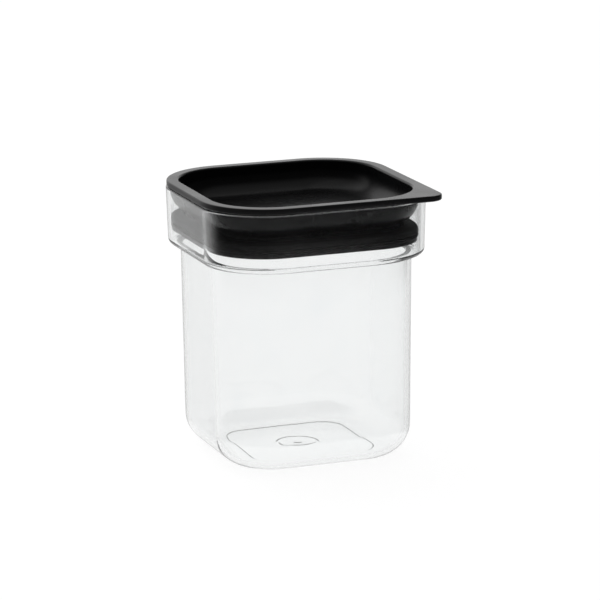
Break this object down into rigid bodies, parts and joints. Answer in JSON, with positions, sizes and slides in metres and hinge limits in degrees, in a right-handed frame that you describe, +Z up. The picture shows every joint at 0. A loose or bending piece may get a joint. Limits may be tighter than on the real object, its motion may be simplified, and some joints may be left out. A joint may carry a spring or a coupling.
{
  "type": "lidded storage canister",
  "caption": "Square clear storage canister with a wide collar and a dished push-in lid that has a soft seal and a finger corner.",
  "frame": {"origin": "centre of the base, on the surface the canister stands on", "axes": "+Z up, the way the lid lifts off; the sides are square to X and Y, and the lid's finger corner points to +X and -Y"},
  "size_m": [0.1002, 0.1002, 0.1178],
  "materials": {
    "clear_plastic": "clear, polished, moulded",
    "lid_plastic": "satin black with a fine grain",
    "seal_rubber": "matt black"
  },
  "bodies": {
    "canister": {"canister_body": "clear_plastic"},
    "lid": {"lid_shell": "lid_plastic", "lid_seal": "seal_rubber"}
  },
  "joints": [
    {"name": "lid_lift", "type": "slide", "parent": "canister", "child": "lid", "axis": [0, 0, 1], "range_m": [0, 0.06]}
  ]
}
